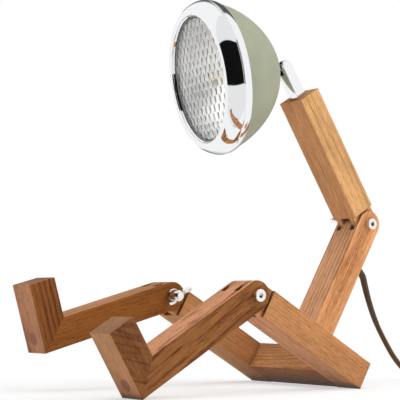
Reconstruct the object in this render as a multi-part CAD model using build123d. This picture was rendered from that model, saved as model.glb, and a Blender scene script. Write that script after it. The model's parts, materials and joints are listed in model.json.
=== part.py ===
"""Desk lamp in the shape of a seated wooden robot with a headlamp for a head. Millimetres, +Z up.

The figure sits on the back edge of its U-shaped hips and on its left heel. It faces -Y, and its left is +X.
Every limb is a bar of one section, and each hinge is a comb joint of five layers on an M6 bolt.
"""
from build123d import *
import os
from math import asin, atan2, cos, hypot, pi, radians, sin, tan

# ------------------------------------------------------------------ driving dimensions
# wooden limbs
module = 130.0          # from a limb's joint axis to its far end, the same for every limb
bar_thick = 23.5        # bar section, across the joint axis
finger = 5.8            # one layer of a comb joint
bar_wide = 5 * finger   # bar section, along the joint axis
shoulder = 13.0         # joint axis to the square shoulder between the fingers
side_play = 0.1         # gap on each side of a finger
edge_round = 0.8
hips_wide = 145.0       # over both thighs
foot_long = 56.5        # heel to toe

# resting pose, in degrees
thigh_rise = 30.5       # hips and thighs above the table; the lower torso stands square on them
right_shin_drop = 15.5  # the right shin below horizontal; the left one is worked out from its heel
torso_stoop = 32.0      # the upper torso forward of upright

# joint hardware
bolt_r = 3.0
running = 0.05          # radial clearance of a running fit
bolt_head_r = 5.0
bolt_head_tall = 4.0
socket_flats = 4.0
washer_r = 6.0
washer_thick = 1.2
nut_tall = 7.0
wing_span = 25.5
thread_past_nut = 3.0

# neck
neck_wide = 11.5
neck_deep = 10.0
neck_crown = 0.7        # how far the front face bulges
neck_shown = 34.6
neck_hidden = 25.0
neck_forward = 1.5      # neck axis ahead of the block's own
tilt_pin_up = 28.0      # tilt pin above the top of the upper torso
barrel_r = 4.15
lug_thick = 3.4
lug_half_tall = 2.0

# head
head_turn = 14.1        # towards the figure's right, about the neck
head_lift = 20.5        # beam above the plane square to the neck
pin_to_front = 83.349     # tilt pin to the plane of the bezel's front edge, along the beam
pin_below_beam = 0.29
opening_r = 53.2
bezel_r = 65.8
bezel_deep = 20.8
sheet = 1.0             # bezel and bowl wall
bowl_mouth_z = 18.8     # the bowl's straight rim ends here, behind the front plane
bowl_mouth_r = 63.7
bowl_deep = 55.4        # from there to its pole
bowl_cap_r = 35.7       # radius of the bowl's round back
bowl_lean = 16.4        # degrees, wall to axis at the mouth

# cord
cord_d = 4.6
cord_exit_down = 35.0   # waist axis to the cord hole in the back of the lower torso

X = Vector(1, 0, 0)
half_wide, half_thick = bar_wide / 2, bar_thick / 2
limb_x = hips_wide / 2 - half_wide

# ------------------------------------------------------------------ resting pose
rise = radians(thigh_rise)
along_thigh = Vector(0, -cos(rise), sin(rise))
up_hips = Vector(0, sin(rise), cos(rise))


def below_horizontal(angle):
    """A direction that points forward and down, angle in radians."""
    return Vector(0, -cos(angle), -sin(angle))


def in_hips(x, along, up):
    """A point in the hips' own directions, from the middle of the edge that the hips sit on."""
    return X * x + along_thigh * along + up_hips * up


knee = in_hips(0, module, half_thick)
left_drop = asin(knee.Z / hypot(module, half_thick)) - atan2(half_thick, module)  # heel on the table
right_drop = radians(right_shin_drop)
waist = in_hips(0, half_wide, bar_thick + module)
stoop = radians(torso_stoop)
up_neck = Vector(0, -sin(stoop), cos(stoop))
neck_front = Vector(0, -cos(stoop), -sin(stoop))
torso_top = waist + up_neck * module
tilt_pivot = torso_top + up_neck * tilt_pin_up + neck_front * neck_forward

turn, lift = radians(head_turn), radians(head_lift)
tilt_axis = X * cos(turn) + neck_front * sin(turn)
level_beam = neck_front * cos(turn) - X * sin(turn)
beam = level_beam * cos(lift) + up_neck * sin(lift)
beam_up = up_neck * cos(lift) - level_beam * sin(lift)
front_centre = tilt_pivot + beam * pin_to_front + beam_up * pin_below_beam

# Each plane has its x across the figure, and its z along the limb from the joint to the far end.
left_knee_at, right_knee_at = knee + X * limb_x, knee - X * limb_x
left_thigh_plane = Plane(left_knee_at, X, -along_thigh)
right_thigh_plane = Plane(right_knee_at, X, -along_thigh)
left_shin_plane = Plane(left_knee_at, X, below_horizontal(left_drop))
right_shin_plane = Plane(right_knee_at, X, below_horizontal(right_drop))
lower_torso_plane = Plane(waist, X, -up_hips)
upper_torso_plane = Plane(waist, X, up_neck)
hips_plane = Plane((0, 0, 0), X, up_hips)            # y points back, away from the knees
neck_plane = Plane(torso_top + neck_front * neck_forward, X, up_neck)
barrel_plane = Plane(tilt_pivot, tilt_axis, up_neck)
head_plane = Plane(front_centre, tilt_axis, -beam)   # z points back through the bowl, y points down

nodes = {}


def place(name, plane, shape):
    """Put a sub-part, modelled in its plane's directions, where it sits."""
    solids = shape.solids()
    moved = [plane.location * s for s in solids]
    nodes[name] = moved[0] if len(moved) == 1 else Compound(children=moved)


def rod_x(radius, start, end):
    """A cylinder along x."""
    return Pos((start + end) / 2, 0, 0) * Rot(0, 90, 0) * Cylinder(radius, end - start)


def rod_z(radius, start, end, x=0.0, y=0.0):
    """A cylinder along z."""
    return Pos(x, y, (start + end) / 2) * Cylinder(radius, end - start)


def block(x, y, z):
    """A box from its three spans."""
    spans = (x, y, z)
    return Pos(*[(low + high) / 2 for low, high in spans]) * Box(*[high - low for low, high in spans])


def lathe(outline):
    """A solid of revolution about z from a closed outline of (radius, z) edges."""
    return revolve(Plane.XZ * make_face(outline), Axis.Z, 360)


# ------------------------------------------------------------------ wooden limbs
finger_spans = [(side * 1.5 * finger - finger / 2, side * 1.5 * finger + finger / 2) for side in (-1, 1)]
bolt_hole = rod_x(bolt_r + running, -bar_wide, bar_wide)


def soften(shape, keep_z=None):
    """Round the long edges of a limb and its end edges, but not those of an end that meets wood."""
    edges = [e for e in shape.faces().sort_by(Axis.X)[-1].edges() + shape.faces().sort_by(Axis.X)[0].edges()
             if keep_z is None or abs(e.center().Z - keep_z) > 1]
    return fillet(edges, edge_round)


def three_finger_limb(length, meets_wood=True):
    """A limb with two cheeks and a middle finger, rounded about the joint axis."""
    side_view = Plane.YZ * (Pos(0, length / 2) * Rectangle(bar_thick, length) + Circle(half_thick))
    limb = soften(extrude(side_view, half_wide, both=True), keep_z=length if meets_wood else None)
    for low, high in finger_spans:
        limb -= block((low, high), (-bar_thick, bar_thick), (-bar_thick, shoulder))
    return limb - bolt_hole


def two_finger_limb(length, meets_wood=False):
    """A limb with square shoulders and two rounded fingers."""
    limb = soften(block((-half_wide, half_wide), (-half_thick, half_thick), (shoulder, length)),
                  keep_z=length if meets_wood else None)
    finger_view = Plane.YZ * (Pos(0, shoulder / 2 + 1) * Rectangle(bar_thick, shoulder + 2) + Circle(half_thick))
    for low, high in finger_spans:
        width = high - low - 2 * side_play
        limb += Pos((low + high) / 2, 0, 0) * extrude(finger_view, width / 2, both=True)
    return limb - bolt_hole


# ------------------------------------------------------------------ hips
dowel_r, dowel_half, dowel_play = 4.0, 17.5, 0.02
dowel_places = [(x, -along, half_thick) for x in (-limb_x + half_wide, limb_x - half_wide) for along in (8.0, 21.0)]
torso_dowel_x = (-8.5, 8.5)
torso_dowel_start, torso_dowel_end = 6.5, bar_thick + dowel_half


def dowel(place_at, radius):
    return Pos(*place_at) * rod_x(radius, -dowel_half, dowel_half)


def make_hips():
    holes = [dowel(p, dowel_r + dowel_play) for p in dowel_places]
    to_hips = hips_plane.location.inverse()
    for name, plane in (("left_thigh", left_thigh_plane), ("right_thigh", right_thigh_plane)):
        thigh = to_hips * (plane.location * two_finger_limb(module))
        for hole in holes:
            thigh -= hole
        place(name, hips_plane, thigh)
    inner = limb_x - half_wide
    crossbar = block((-inner, inner), (-bar_wide, 0), (0, bar_thick))
    crossbar = fillet(crossbar.edges().filter_by(Axis.X), edge_round)
    for hole in holes:
        crossbar -= hole
    for x in torso_dowel_x:
        crossbar -= rod_z(dowel_r + dowel_play, torso_dowel_start - 0.5, bar_thick + 1, x, -half_wide)
    place("hip_crossbar", hips_plane, crossbar)
    place("hip_dowels", hips_plane, Compound(children=[dowel(p, dowel_r) for p in dowel_places]))
    place("torso_dowels", hips_plane, Compound(children=[
        rod_z(dowel_r, torso_dowel_start, torso_dowel_end, x, -half_wide) for x in torso_dowel_x]))


# ------------------------------------------------------------------ torso
lead_r, lead_bore_r, lead_bend = 2.0, 2.5, 7.0
gland_r, gland_deep = 4.0, 9.0


def lead_path():
    """The inner lead's line in the lower torso: in through the gland, then up towards the waist."""
    return FilletPolyline((0, -half_thick, cord_exit_down), (0, 6.5, cord_exit_down),
                          (0, 6.5, shoulder + 1.5), radius=lead_bend)


def tube_along(path, radius):
    """A round solid along a path."""
    start = Plane(origin=path @ 0, z_dir=path % 0)
    return sweep(start * Circle(radius), path=path)


def make_torso():
    torso = three_finger_limb(module)
    torso -= Pos(0, -half_thick, cord_exit_down) * Rot(90, 0, 0) * Cylinder(gland_r + dowel_play, 2 * gland_deep)
    torso -= tube_along(lead_path(), lead_bore_r)
    torso -= rod_z(lead_bore_r, 0.5 * shoulder, shoulder + 2, 0, 6.5)
    for x in torso_dowel_x:
        torso -= rod_z(dowel_r + dowel_play, bar_thick + module - torso_dowel_end - 0.5, module + 1, x, 0)
    place("lower_torso", lower_torso_plane, torso)
    gland = Pos(0, -half_thick + gland_deep / 2, cord_exit_down) * Rot(90, 0, 0) * Cylinder(gland_r, gland_deep)
    gland -= Pos(0, -half_thick, cord_exit_down) * Rot(90, 0, 0) * Cylinder(lead_r + 0.05, 3 * gland_deep)
    place("cord_gland", lower_torso_plane, gland)
    place("lower_lead", lower_torso_plane, tube_along(lead_path(), lead_r))

    upper = two_finger_limb(module)
    mortise_x, mortise_y = neck_wide / 2 + 0.1, neck_deep / 2 + 0.1
    upper -= block((-mortise_x, mortise_x), (-neck_forward - mortise_y - neck_crown, -neck_forward + mortise_y),
                   (module - neck_hidden, module + 1))
    upper -= rod_z(lead_bore_r, shoulder - 1, module, 0, -neck_forward)
    upper -= Pos(0, -neck_forward, module - neck_hidden / 2) * rod_x(neck_pin_r + dowel_play, -bar_wide, 0)
    place("upper_torso", upper_torso_plane, upper)
    lead_end = module + tilt_pin_up - 7
    place("upper_lead", upper_torso_plane, rod_z(lead_r, shoulder + 1, lead_end, 0, -neck_forward))


# ------------------------------------------------------------------ shins and feet
foot_screw_r, foot_screw_head_r, foot_screw_end = 2.0, 4.0, 45.0
screw_head_tall = 3.0
plug_r, plug_deep = 5.3, 6.0


def make_leg(side, plane):
    """A shin and its foot, joined by a mitre from the inside corner to the heel."""
    beyond = 2 * bar_thick
    below_mitre = extrude(Plane.YZ * make_face(Polyline((-beyond, -beyond), (-beyond, module - half_thick + beyond),
                                                        (module - half_thick + beyond, -beyond), close=True)),
                          bar_wide, both=True)
    bore = rod_z(foot_screw_r + dowel_play, module - foot_screw_end - 0.5, module)
    bore += rod_z(plug_r + dowel_play, module - plug_deep - screw_head_tall, module + 1)
    place(f"{side}_shin", plane, (three_finger_limb(module) & below_mitre) - bore)
    foot = block((-half_wide, half_wide), (-half_thick, foot_long - half_thick), (module - bar_thick, module))
    foot = fillet([e for e in foot.edges() if e.center().Y > 1 - half_thick], edge_round)
    place(f"{side}_foot", plane, foot - below_mitre - bore)
    head_at = module - plug_deep
    screw = rod_z(foot_screw_r, module - foot_screw_end, head_at - 1)
    screw += rod_z(foot_screw_head_r, head_at - screw_head_tall, head_at)
    place(f"{side}_foot_screw", plane, screw - rod_z(1.3, head_at - 2, head_at + 1))
    place(f"{side}_foot_plug", plane, rod_z(plug_r, module - plug_deep, module - 0.1))


# ------------------------------------------------------------------ bolts, washers and wing nuts
def bolt(head_side):
    """A flat-head socket bolt along x with its head on one side; x is measured from the middle of the bar."""
    tip = half_wide + washer_thick + nut_tall + thread_past_nut
    head = rod_x(bolt_head_r, half_wide, half_wide + bolt_head_tall)
    head = fillet(head.edges().filter_by(GeomType.CIRCLE).sort_by(Axis.X)[-1], 0.5)
    socket = extrude(Plane.YZ * RegularPolygon(socket_flats / 2, 6, major_radius=False), 2.6)
    whole = head + rod_x(bolt_r, -tip, half_wide + 0.5) - Pos(half_wide + bolt_head_tall - 2.5, 0, 0) * socket
    return whole if head_side > 0 else Rot(0, 0, 180) * whole


def washer(nut_side):
    ring = rod_x(washer_r, half_wide, half_wide + washer_thick)
    ring -= rod_x(bolt_r + 0.2, half_wide - 1, half_wide + washer_thick + 1)
    return ring if nut_side > 0 else Rot(0, 0, 180) * ring


def wing_nut(nut_side, wing_angle):
    """A wing nut on the bolt's end. wing_angle turns its wings about x, from the y axis towards z."""
    seat = half_wide + washer_thick
    hub = Pos(seat + nut_tall / 2, 0, 0) * Rot(0, 90, 0) * Cone(5.4, 4.6, nut_tall)
    wing_thick, wing_base, wing_top, wing_bottom = 2.2, 3.6, 13.5, 1.6
    outline = Polyline((seat + wing_bottom, wing_base), (seat + wing_bottom + 1.5, wing_span / 2 - 3.5),
                       (seat + wing_top - 5, wing_span / 2), (seat + wing_top, wing_span / 2 - 2),
                       (seat + wing_top - 1, wing_span / 2 - 5), (seat + nut_tall - 0.8, wing_base), close=True)
    wing = extrude(fillet(make_face(outline).vertices().sort_by(Axis.Y)[2:], 1.9), wing_thick / 2, both=True)
    nut = hub + wing + mirror(wing, about=Plane.XZ) - rod_x(bolt_r + running, seat - 1, seat + nut_tall + 1)
    nut = Rot(wing_angle, 0, 0) * nut
    return nut if nut_side > 0 else Rot(0, 0, 180) * nut


def make_joint_hardware(joint, plane, head_side, wing_angle):
    place(f"{joint}_bolt", plane, bolt(head_side))
    place(f"{joint}_washer", plane, washer(-head_side))
    place(f"{joint}_wing_nut", plane, wing_nut(-head_side, wing_angle))


# ------------------------------------------------------------------ neck
neck_pin_r, neck_pin_half = 1.5, 10.0
window_half_wide, window_below, window_above = 4.8, 4.5, 9.0
barrel_low, barrel_high = -6.0, 3.3
tilt_pin_r, tilt_pin_half = 1.0, 3.9
barrel_slot_half = lug_thick / 2 + 0.1


def make_neck():
    back, front, side = neck_deep / 2, -neck_deep / 2, neck_wide / 2
    crowned = ThreePointArc((side, front), (0, front - neck_crown), (-side, front))
    plan = make_face([crowned, Line((-side, front), (-side, back)), Line((-side, back), (side, back)), Line((side, back), (side, front))])
    bar = extrude(Pos(0, 0, -neck_hidden) * plan, neck_hidden + neck_shown)
    arch_r = (neck_deep + neck_crown) / 2
    arch_z = neck_shown - arch_r
    side_view = Pos(-neck_crown / 2, (arch_z - neck_hidden) / 2) * Rectangle(2 * arch_r, arch_z + neck_hidden)
    side_view += Pos(-neck_crown / 2, arch_z) * Circle(arch_r)
    bar &= extrude(Plane.YZ * side_view, neck_wide, both=True)
    bar = fillet(bar.edges().filter_by(Axis.Z), 0.5)
    bar -= rod_z(lead_bore_r, -neck_hidden - 1, tilt_pin_up)
    bar -= rod_z(barrel_r + running, tilt_pin_up + barrel_low - 0.3, tilt_pin_up + barrel_high + 0.1)
    bar -= block((-window_half_wide, window_half_wide), (-neck_deep, 0.5),
                 (tilt_pin_up - window_below, tilt_pin_up + window_above))
    bar -= Pos(0, 0, -neck_hidden / 2) * rod_x(neck_pin_r + dowel_play, -neck_wide, 0.5 - lead_bore_r)
    place("neck_bar", neck_plane, bar)
    pin = Pos(0, 0, -neck_hidden / 2) * rod_x(neck_pin_r, 0.4 - half_wide, -lead_bore_r - 0.3)
    place("neck_pin", neck_plane, pin)

    barrel = rod_z(barrel_r, barrel_low, barrel_high)
    barrel -= block((-barrel_slot_half, barrel_slot_half), (-barrel_r - 1, barrel_r + 1), (-4.4, barrel_high + 1))
    barrel -= rod_z(1.6, barrel_low - 1, -4)
    barrel -= rod_x(tilt_pin_r + dowel_play, -barrel_r - 1, barrel_r + 1)
    place("neck_barrel", barrel_plane, barrel)
    place("tilt_pin", barrel_plane, rod_x(tilt_pin_r, -tilt_pin_half, tilt_pin_half))


# ------------------------------------------------------------------ head
bowl_back = bowl_mouth_z + bowl_deep                  # the bowl's pole, behind the front plane
lens_seat = 3.7
wall_end = 2.9           # where the wall inside the opening ends, on the lens gasket
reflector_rim = 6.7
stud_r = 5.0
stud_end = 65.8                                       # inner end of the stud that carries the head


def bowl_outline(inset):
    """The two arcs of the bowl from mouth to pole, moved inwards by inset: points on them and the flank's radius."""
    lean = radians(bowl_lean)
    cap_centre = bowl_deep - bowl_cap_r
    flank_r = (cap_centre ** 2 + bowl_mouth_r ** 2 - bowl_cap_r ** 2) / (
        2 * (bowl_mouth_r * cos(lean) - cap_centre * sin(lean) - bowl_cap_r))
    flank = Vector(bowl_mouth_r - flank_r * cos(lean), bowl_mouth_z - flank_r * sin(lean))
    cap = Vector(0, bowl_mouth_z + cap_centre)
    meet_way = (cap - flank).normalized()
    start_way = Vector(cos(lean), sin(lean))
    middle_way = (start_way + meet_way).normalized()
    cap_middle_way = (meet_way + Vector(0, 1)).normalized()
    flank_r -= inset
    cap_r = bowl_cap_r - inset
    meet = flank + meet_way * flank_r
    return [flank + start_way * flank_r, flank + middle_way * flank_r, meet,
            cap + cap_middle_way * cap_r, cap + Vector(0, 1) * cap_r]


def make_bowl():
    outer, inner = bowl_outline(0), bowl_outline(sheet)
    lip_z, stud_hole_r = 11.0, 5.05
    outline = [Line((bowl_mouth_r - sheet, lip_z), (bowl_mouth_r, lip_z)),
               Line((bowl_mouth_r, lip_z), outer[0]),
               ThreePointArc(*outer[0:3]), ThreePointArc(*outer[2:5]),
               Line(outer[4], inner[4]),
               ThreePointArc(*inner[4:1:-1]), ThreePointArc(*inner[2::-1]),
               Line(inner[0], (bowl_mouth_r - sheet, bowl_mouth_z)),
               Line((bowl_mouth_r - sheet, bowl_mouth_z), (bowl_mouth_r - sheet, lip_z))]
    place("bowl", head_plane, lathe(outline) - rod_z(stud_hole_r, bowl_back - 5, bowl_back + 5))


def make_bezel():
    """A rolled lip round the opening, a curved flank out to the widest place, a groove and a bead."""
    edge_r, crease_r, crease_z = opening_r + 0.8, 59.5, 0.7
    flank_z, groove_z, bead_z = 13.0, 13.6, 14.2
    bead_back_r = bowl_mouth_r + 0.1
    bowl_r = bowl_mouth_r - (bezel_deep - bowl_mouth_z) * tan(radians(bowl_lean))
    inside = bezel_r - sheet
    outline = [Line((opening_r, wall_end), (edge_r, 1.7)),
               ThreePointArc((edge_r, 1.7), (edge_r + 0.25, 0.8), (edge_r + 1.1, 0.3)),
               ThreePointArc((edge_r + 1.1, 0.3), (57.2, 0), (crease_r, crease_z)),
               ThreePointArc((crease_r, crease_z), (63.7, 6.4), (bezel_r, flank_z)),
               Line((bezel_r, flank_z), (bezel_r - 0.5, groove_z)),
               Line((bezel_r - 0.5, groove_z), (bezel_r - 0.3, bead_z)),
               ThreePointArc((bezel_r - 0.3, bead_z), (65.2, 17.6), (bead_back_r, bezel_deep)),
               Line((bead_back_r, bezel_deep), (bowl_r + 0.2, bezel_deep)),
               Line((bowl_r + 0.2, bezel_deep), (bowl_mouth_r + 0.1, bowl_mouth_z)),
               Line((bowl_mouth_r + 0.1, bowl_mouth_z), (bowl_mouth_r + 0.5, groove_z)),
               Line((bowl_mouth_r + 0.5, groove_z), (inside, flank_z - 0.6)),
               ThreePointArc((inside, flank_z - 0.6), (62.8, 6.9), (crease_r - 0.9, crease_z + 1.3)),
               Line((crease_r - 0.9, crease_z + 1.3), (edge_r + 1.7, 1.3)),
               Line((edge_r + 1.7, 1.3), (edge_r + sheet, 2.1)),
               Line((edge_r + sheet, 2.1), (opening_r + sheet, wall_end)),
               Line((opening_r + sheet, wall_end), (opening_r, wall_end))]
    place("bezel_ring", head_plane, lathe(outline))


def make_glass():
    flange_r, dome_r, dome_front, glass = 58.5, 52.8, 1.5, 3.0
    flange = rod_z(flange_r, lens_seat, reflector_rim)
    dome_tall = lens_seat - dome_front
    ball_r = (dome_r ** 2 + dome_tall ** 2) / (2 * dome_tall)
    front = Pos(0, 0, dome_front + ball_r) * Sphere(ball_r)
    back = Pos(0, 0, glass) * front
    dome = (front & rod_z(dome_r, dome_front - 1, reflector_rim)) + flange
    place("lens", head_plane, dome - (back & rod_z(dome_r, dome_front, reflector_rim + 1)))
    gasket = rod_z(flange_r + 0.3, wall_end, lens_seat) - rod_z(opening_r + 0.1, wall_end - 1, lens_seat + 1)
    place("lens_gasket", head_plane, gasket)


def make_reflector():
    """A thin dish from the lens flange down to the lamp holder, and the clips that hold it in the bezel."""
    rim_r, dish_r, throat_r, throat_z, skin = 60.0, 56.5, 12.5, 52.0, 0.8
    middle = Vector(44.0, 35.0)
    outline = [Line((dish_r, reflector_rim), (rim_r, reflector_rim)),
               Line((rim_r, reflector_rim), (rim_r, reflector_rim + skin)),
               Line((rim_r, reflector_rim + skin), (dish_r + skin, reflector_rim + skin)),
               ThreePointArc((dish_r + skin, reflector_rim + skin), (middle.X + skin, middle.Y + skin),
                             (throat_r, throat_z + skin)),
               Line((throat_r, throat_z + skin), (throat_r, throat_z)),
               ThreePointArc((throat_r, throat_z), (middle.X, middle.Y), (dish_r, reflector_rim))]
    place("reflector", head_plane, lathe(outline))
    clip_wide, clip_count, clip_low = 9.0, 4, reflector_rim + skin
    foot = block((dish_r + 2, bowl_mouth_r - sheet - 0.4), (-clip_wide / 2, clip_wide / 2), (clip_low, clip_low + 0.7))
    leg = block((bowl_mouth_r - sheet - 1.1, bowl_mouth_r - sheet - 0.4), (-clip_wide / 2, clip_wide / 2),
                (clip_low, clip_low + 8))
    clips = [Rot(0, 0, 45 + 360 / clip_count * k) * (foot + leg) for k in range(clip_count)]
    place("lens_clips", head_plane, Compound(children=clips))


def make_lamp():
    """The lamp holder, its bracket on the stud, the capsule lamp, and the terminal block."""
    holder_low, holder_high, holder_r = 49.0, 64.0, 9.5
    bracket_thick = 1.0
    holder = rod_z(holder_r, holder_low, holder_high)
    holder = fillet(holder.edges(), 1.0)
    for x in (-4.5, 4.5):
        holder -= rod_z(1.6, holder_low - 1, holder_low + 9, x)
    place("lamp_holder", head_plane, holder)
    nut_r, star_r = 7.0, 8.0
    bowl_at = bowl_back - bowl_cap_r + ((bowl_cap_r - sheet) ** 2 - star_r ** 2) ** 0.5   # the bowl, at the washer's edge
    star_low = bowl_at - 0.05 - bracket_thick
    plate_low = star_low - bracket_thick
    nut_low = plate_low - 4.0
    star = rod_z(star_r, star_low, star_low + bracket_thick) - rod_z(stud_r + 0.05, star_low - 1, bowl_back)
    place("stud_washer", head_plane, star)
    plate = rod_z(holder_r, plate_low, star_low) - rod_z(stud_r + 0.05, plate_low - 1, bowl_back)
    ear = block((-holder_r - 1.2, -holder_r - 0.2), (-3.5, 3.5), (holder_low + 5, star_low))
    ear += block((-holder_r - 1.2, -holder_r + 2), (-3.5, 3.5), (plate_low, star_low))
    place("holder_bracket", head_plane, plate + ear + Rot(0, 0, 180) * ear)
    stud_nut = extrude(Plane.XY.offset(nut_low) * RegularPolygon(nut_r, 6, major_radius=False), plate_low - nut_low)
    place("stud_nut", head_plane, stud_nut - rod_z(stud_r + 0.02, nut_low - 1, plate_low + 1))

    lamp_r, lamp_low, lamp_high = 7.5, 17.0, 45.0
    glass = rod_z(lamp_r, lamp_low + lamp_r, lamp_high) + Pos(0, 0, lamp_low + lamp_r) * Sphere(lamp_r)
    place("lamp_glass", head_plane, glass)
    base = block((-7, 7), (-3.6, 3.6), (lamp_high, holder_low))
    pins = [rod_z(0.8, holder_low - 1, holder_low + 7, x) for x in (-4.5, 4.5)]
    place("lamp_base", head_plane, base + pins[0] + pins[1])

    terminal = block((17, 26), (-7, 7), (52.9, 59.5))
    for y in (-3.5, 3.5):
        terminal -= rod_z(1.5, 56, 60, 21.5, y)
    place("terminal_block", head_plane, terminal)


def make_lug():
    """The hollow stud through the bowl, with a collar and a flat tab that turns on the tilt pin."""
    collar_r, collar_thick, collar_chamfer = 5.8, 1.4, 1.2
    collar = rod_z(collar_r, bowl_back + 0.05, bowl_back + 0.05 + collar_thick)
    collar = chamfer(collar.edges().filter_by(GeomType.CIRCLE).sort_by(Axis.Z)[-1], collar_chamfer)
    stud = rod_z(stud_r, stud_end, bowl_back + 1)
    tab_low, tab_high = pin_below_beam - lug_half_tall, pin_below_beam + lug_half_tall
    tab = block((-lug_thick / 2, lug_thick / 2), (tab_low, tab_high), (bowl_back + 1, pin_to_front))
    tab += Pos(0, pin_below_beam, pin_to_front) * rod_x(lug_half_tall, -lug_thick / 2, lug_thick / 2)
    tab -= Pos(0, pin_below_beam, pin_to_front) * rod_x(tilt_pin_r + running, -lug_thick, lug_thick)
    bore = rod_z(3.2, stud_end - 1, bowl_back - 1)
    place("head_lug", head_plane, collar + stud + tab - bore)


# ------------------------------------------------------------------ cord, switch and plug
lie = cord_d / 2                                      # the cord's middle when it lies on the table
switch_x, switch_y = -8.0, (160.0, 218.0)
switch_wide, switch_tall, switch_split, switch_cord_z = 24.0, 15.0, 8.0, 6.0
rocker_pivot_z, rocker_rest = 12.0, -8.0
plug_x, plug_y = 58.0, (105.0, 143.0)
plug_wide, plug_tall, plug_cord_z = 35.0, 14.0, 7.0
coil_centre = Vector(42.0, 192.0)
coil_inner_r, coil_outer_r, coil_tall = 21.5, 32.5, 19.5

exit_point = lower_torso_plane.from_local_coords(Vector(0, -half_thick, cord_exit_down))
gland_out = -along_thigh
# From the torso the cord drops behind the figure, lands on the table and runs back to the switch.
lead_route = [exit_point, exit_point + gland_out * 13.0, (0, 72.0, 85.0), (0.5, 77.5, 67.5), (0, 85.5, 51.0),
              (0.5, 95.5, 35.0), (0, 107.0, 20.0), (-1, 121.0, 8.0), (-4.5, 136.5, 2.8),
              (-7.7, 149.0, 3.8), (switch_x, switch_y[0], switch_cord_z)]
tail_route = [(switch_x, switch_y[1], switch_cord_z), (switch_x, 229.0, 4.6), (-3.5, 240.5, 2.6),
              (7.0, 247.0, 2.4), (20.0, 246.0, 2.3), (33.0, 238.0, 2.4), (45.0, 227.5, 2.3), (56.0, 217.5, 2.4)]
end_route = [(70.9, 187.0, 15.5), (69.5, 174.0, 13.5), (63.5, 163.5, 10.0), (59.0, 153.5, 7.6),
             (plug_x, plug_y[1], plug_cord_z)]


def cord_tube(name, route):
    """Straight runs joined by arcs, each as large as its two runs allow."""
    points = [Vector(*p) if isinstance(p, tuple) else p for p in route]
    radii = []
    for before, here, after in zip(points, points[1:], points[2:]):
        shorter = min((here - before).length, (after - here).length)
        half_turn = radians((here - before).get_angle(after - here)) / 2
        radii.append(0.45 * shorter / tan(half_turn))
    path = FilletPolyline(*points, radius=radii)
    tube = tube_along(path, cord_d / 2)
    print(f"{name}: {path.length:.1f} mm, radii", [round(r) for r in radii],
          f"volume over section times length {tube.volume / (pi * lie ** 2 * path.length):.4f}")
    place(name, Plane.XY, tube)


def make_cord():
    cord_tube("cord_lead", lead_route)
    cord_tube("cord_tail", tail_route)
    cord_tube("cord_end", end_route)
    coil = rod_z(coil_outer_r, 0, coil_tall, coil_centre.X, coil_centre.Y)
    coil -= rod_z(coil_inner_r, -1, coil_tall + 1, coil_centre.X, coil_centre.Y)
    place("cord_coil", Plane.XY, fillet(coil.edges().filter_by(GeomType.CIRCLE), 3.0))


def make_switch():
    """An inline rocker switch: two housing halves, a rocker and two screws from below."""
    middle_y = sum(switch_y) / 2
    half_x, half_y = switch_wide / 2, (switch_y[1] - switch_y[0]) / 2
    case = block((-half_x, half_x), (-half_y, half_y), (0, switch_tall))
    case = fillet(case.edges().filter_by(Axis.Z), 7.0)
    case = fillet(case.faces().sort_by(Axis.Z)[-1].edges(), 2.5)
    wall, well_x, well_y = 1.8, 5.2, 9.6
    case -= block((-half_x + wall, half_x - wall), (-20, 20), (wall, switch_tall - wall))
    case -= block((-well_x, well_x), (-well_y, well_y), (switch_split, switch_tall + 1))
    screws = [(x, y) for x, y in ((-8.2, 22.5), (8.2, -22.5))]
    at = Plane((switch_x, middle_y, 0))
    lower = case & block((-half_x, half_x), (-half_y, half_y), (0, switch_split))
    upper = case & block((-half_x, half_x), (-half_y, half_y), (switch_split, switch_tall))
    for x, y in screws:
        lower -= rod_z(1.27, -1, switch_split + 1, x, y) + rod_z(2.3, -1, 1.8, x, y)
        upper -= rod_z(1.27, switch_split - 1, switch_split + 4, x, y)
    place("switch_lower", at, lower)
    place("switch_upper", at, upper)
    screw = rod_z(1.25, 0.3, 11.5) + rod_z(2.2, 0.3, 1.7)
    place("switch_screws", at, Compound(children=[Pos(x, y, 0) * screw for x, y in screws]))

    rocker_half_x, rocker_half_y, rocker_r, rocker_tip = 4.9, 8.8, 26.0, 17.4
    top_z = rocker_tip - rocker_pivot_z
    side = Rectangle(2 * rocker_half_y, 2 * top_z) & Pos(0, rocker_r + 0.4) * Rectangle(60, 2 * rocker_r)
    side -= Pos(0, top_z + rocker_r - 1.4) * Circle(rocker_r)
    side += Pos(0, -1.0) * Rectangle(6.0, 4.0)
    rocker = extrude(Plane.YZ * side, rocker_half_x, both=True) - rod_x(1.05, -10, 10)
    place("switch_rocker", Plane((switch_x, middle_y, rocker_pivot_z)), Rot(rocker_rest, 0, 0) * rocker)
    place("switch_pin", Plane((switch_x, middle_y, rocker_pivot_z)), rod_x(1.0, -7.0, 7.0))


def make_plug():
    """A flat two-pin plug, its pins pointing away from the coil."""
    long, back = plug_y[1] - plug_y[0], plug_y[1]
    outline = Polyline((-7, 0), (7, 0), (plug_wide / 2 - 4, -10), (plug_wide / 2, -20), (plug_wide / 2 - 1.5, -long),
                       (-plug_wide / 2 + 1.5, -long), (-plug_wide / 2, -20), (-plug_wide / 2 + 4, -10), close=True)
    body = extrude(make_face(outline), plug_tall)
    body = fillet(body.edges().filter_by(Axis.Z), 2.5)
    body = fillet(body.faces().sort_by(Axis.Z)[-1].edges() + body.faces().sort_by(Axis.Z)[0].edges(), 2.5)
    at = Plane((plug_x, back, 0))
    pins = []
    for x in (-9.3, 9.3):
        pin = Pos(x, -long - 5.0, plug_cord_z) * Rot(90, 0, 0) * fillet(Cylinder(2.0, 28.0).edges(), 0.9)
        pins.append(pin)
        body -= Pos(x, -long, plug_cord_z) * Rot(90, 0, 0) * Cylinder(2.02, 18.4)
    place("plug_body", at, body)
    place("plug_pins", at, Compound(children=pins))


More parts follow.
